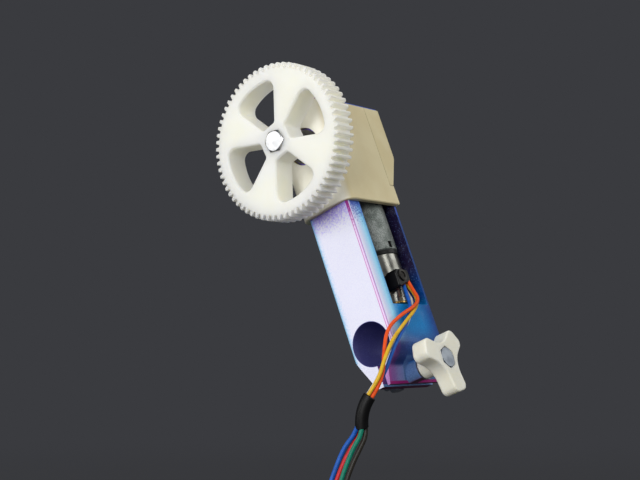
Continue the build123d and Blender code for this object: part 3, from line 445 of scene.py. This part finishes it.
finish_of = {
    "colour_shift": ["arm_body"],
    "ivory_gear": ["drive_gear"],
    "ivory_cap": ["gearbox_front_cap"],
    "ivory_cover": ["gearbox_rear_cover"],
    "ivory_knob": ["clamp_knob"],
    "zinc": ["rear_cover_screws", "cap_side_screws", "spindle_screw", "spindle_thin_nut",
             "motor_mount_screws"],
    "bearing_steel": ["front_bearing_balls", "rear_bearing_outer_race",
                      "rear_bearing_inner_race", "rear_bearing_balls", "motor_output_shaft",
                      "bevel_wheel_set_screw", "bevel_pinion_set_screw"],
    "turned_aluminium": ["spindle_spacers"],
    "brass": ["bevel_wheel", "bevel_pinion", "motor_end_ring", "connector_contacts"],
    "gearbox_metal": ["motor_gearbox"],
    "can_steel": ["motor_can", "motor_tail"],
    "dark_steel": ["terminal_post", "gear_nut", "spindle_washer", "front_bearing_outer_race",
                   "front_bearing_inner_race"],
    "grey_zinc": ["clamp_screw", "clamp_washer", "clamp_nut"],
    "black_plastic": ["motor_band", "terminal_block", "lead_connector"],
    "sleeve_black": ["splice_sleeve"],
}

for finish, names in finish_of.items():
    for name in names:
        mesh = nodes[name].data
        mesh.materials.clear()
        mesh.materials.append(finishes[finish])


# Leads and cable --------------------------------------------------------------------------

LEAD_DIAMETER = 1.24 * MM
WIRE_DIAMETER = 1.56 * MM
BUNCH = 0.86                 # of a wire from the cable's middle where the four are bunched, mm
PITCH = 2.54                 # of the wires at the connector, mm

# routes of the motor leads, mm, from the terminal block to the splice sleeve
lead_routes = {
    "orange": [(0.630, 6.300, 21.899), (3.8, 5.0, 18.4), (7.5, 2.8, 15.4), (9.4, -2.5, 12.8),
               (9.1, -10.4, 9.8), (8.8, -18.2, 5.2), (11.0, -23.2, -2.8),
               (12.6, -25.9, -11.5), (10.277, -29.262, -17.220)],
    "blue": [(0.068, 4.300, 21.015), (3.6, 1.3, 17.0), (7.1, -1.6, 12.9), (8.6, -5.4, 9.3),
             (10.7, -9.8, 6.4), (11.9, -14.9, 3.3), (12.2, -19.8, -1.9), (11.5, -23.6, -9.9),
             (9.171, -27.846, -17.220)],
    "yellow": [(-0.751, 6.600, 21.447), (2.4, 7.4, 17.9), (6.0, 4.4, 14.6), (9.2, -2.3, 11.5),
               (11.4, -11.1, 7.5), (12.0, -19.5, 1.8), (12.5, -25.1, -4.8),
               (12.2, -28.0, -11.6), (8.862, -30.368, -17.220)],
    "white": [(-0.963, 5.200, 20.900), (0.9, 5.4, 17.5), (5.7, 1.8, 14.6), (8.3, -4.4, 8.0),
              (10.5, -13.1, 3.5), (10.7, -20.0, -1.5), (10.7, -23.9, -7.8),
              (10.2, -27.2, -12.9), (7.756, -28.952, -17.220)],
}

# the cable's middle, mm; then, from the sleeve to the connector, what is left of the bunch
# across X and Y, and how far the row has opened towards its full pitch
cable_middle = [(6.783, -29.603, -25.821), (6.3, -29.7, -28.9), (4.4, -31.1, -32.6),
                (2.3, -32.9, -38.4), (-0.3, -34.9, -47.9), (-1.4, -35.8, -59.9),
                (-1.4, -35.7, -71.9), (-1.1, -35.5, -81.9)]
bunch_x = [1, 0.6, 0, 0, 0, 0, 0, 0]
bunch_y = [1, 1, 0.8, 0.3, 0, 0, 0, 0]
row = [0, 0.32, 0.7, 0.73, 0.77, 0.9, 1, 1]


def wire_route(index):
    """Points of one wire of the cable, mm."""
    side_x = -BUNCH if index < 2 else BUNCH
    side_y = -BUNCH if index % 2 == 0 else BUNCH
    row_x = (index - 1.5) * PITCH
    return [(x + side_x * in_x + row_x * in_row, y + side_y * in_y, z)
            for (x, y, z), in_x, in_y, in_row in zip(cable_middle, bunch_x, bunch_y, row)]


def hung(name, points, diameter, colour):
    """A round cord along its route."""
    curve = bpy.data.curves.new(name, "CURVE")
    curve.dimensions = "3D"
    curve.bevel_depth = diameter / 2
    curve.bevel_resolution = 5
    curve.resolution_u = 16
    curve.use_fill_caps = True
    spline = curve.splines.new("NURBS")
    spline.points.add(len(points) - 1)
    for point, place in zip(spline.points, points):
        point.co = (*[part * MM for part in place], 1.0)
    spline.order_u = 3
    spline.use_endpoint_u = True
    curve.materials.append(finishes[colour])
    made = bpy.data.objects.new(name, curve)
    bpy.context.scene.collection.objects.link(made)
    return made


for colour, route in lead_routes.items():
    lead = hung(f"motor_lead_{colour}", route, LEAD_DIAMETER, colour)
    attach(lead, "frame")
    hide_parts(f"lead_{colour}")

for index, colour in enumerate(("blue", "red", "green", "black")):
    route = wire_route(index)
    wire = hung(f"cable_wire_{colour}", route, WIRE_DIAMETER, colour)
    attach(wire, "frame")
    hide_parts(f"cable_{colour}")


# Stage, light and camera ------------------------------------------------------------------

FLOOR = -97.5 * MM           # just under the connector
FLOOR_SIZE = 12.0
FLOOR_FADE = (0.10, 0.90)    # from the middle, where the floor turns into the backdrop
BACKDROP = srgb(58, 59, 63)
AMBIENT = 0.52               # strength of the even light from all round
MIDDLE = (-0.01, 0.0, 0.0)   # what the lamps point at

lamps = (                    # name, place, side of the square, watts
    ("key", (0.34, -1.26, 0.28), 0.7, 10.7),
    ("left", (-0.85, -1.08, 0.15), 0.6, 3.5),
    ("side", (1.00, -0.18, 0.80), 0.35, 1.5),
    ("back", (0.72, 0.81, 0.73), 0.7, 2.8),
)


def stage_floor():
    """Dark ground that takes the object's shadow and fades into the backdrop further off."""
    bpy.ops.mesh.primitive_plane_add(size=FLOOR_SIZE, location=(0, 0, FLOOR))
    floor = bpy.context.object
    floor.name = "floor"
    ground = Surface("floor", Roughness=0.9, Specular_IOR_Level=0.2)
    clouds = ground.noise(3.0, 2.0)
    ground.feed("Base Color", ground.ramp(clouds, (0.3, srgb(60, 61, 65)),
                                          (0.7, srgb(64, 65, 69))))
    away = ground.node("VectorMath", ground.coords.outputs["Object"], operation="LENGTH")
    far = ground.window(away.outputs["Value"], *FLOOR_FADE)
    shown = ground.node("Emission", BACKDROP, 1.0).outputs[0]
    blend = ground.node("MixShader", ground.both(far, ground.direct_ray()),
                        ground.shader.outputs[0], shown)
    ground.tree.links.new(blend.outputs[0], ground.out.inputs[0])
    floor.data.materials.append(ground.material)


def softbox(name, place, size, power):
    """A square lamp that points at the object."""
    lamp = bpy.data.lights.new(name, "AREA")
    lamp.size = size
    lamp.energy = power
    made = bpy.data.objects.new(name, lamp)
    made.location = place
    made.rotation_euler = (Vector(MIDDLE) - Vector(place)).to_track_quat("-Z", "Y").to_euler()
    bpy.context.scene.collection.objects.link(made)


def surroundings():
    """Even white light on the object, and a dark plain backdrop behind it."""
    world = bpy.data.worlds.new("studio")
    world.use_nodes = True
    bpy.context.scene.world = world
    sky = Nodes(world.node_tree)
    ambient = sky.node("Background", WHITE, AMBIENT).outputs[0]
    shown = sky.node("Background", BACKDROP, 1.0).outputs[0]
    choice = sky.node("MixShader", sky.direct_ray(), ambient, shown)
    sky.node("OutputWorld", choice.outputs[0])


stage_floor()
for lamp in lamps:
    softbox(*lamp)
surroundings()

camera_data = bpy.data.cameras.new("camera")
camera_data.lens = 73.16
camera_data.sensor_width = 36.0
camera_data.clip_start = 0.01
camera = bpy.data.objects.new("camera", camera_data)
camera.location = (0.25354, -0.36938, 0.00165)
camera.rotation_euler = (radians(94.365), 0.0, radians(37.81))
bpy.context.scene.collection.objects.link(camera)
bpy.context.scene.camera = camera
bpy.context.scene.view_settings.view_transform = "Standard"
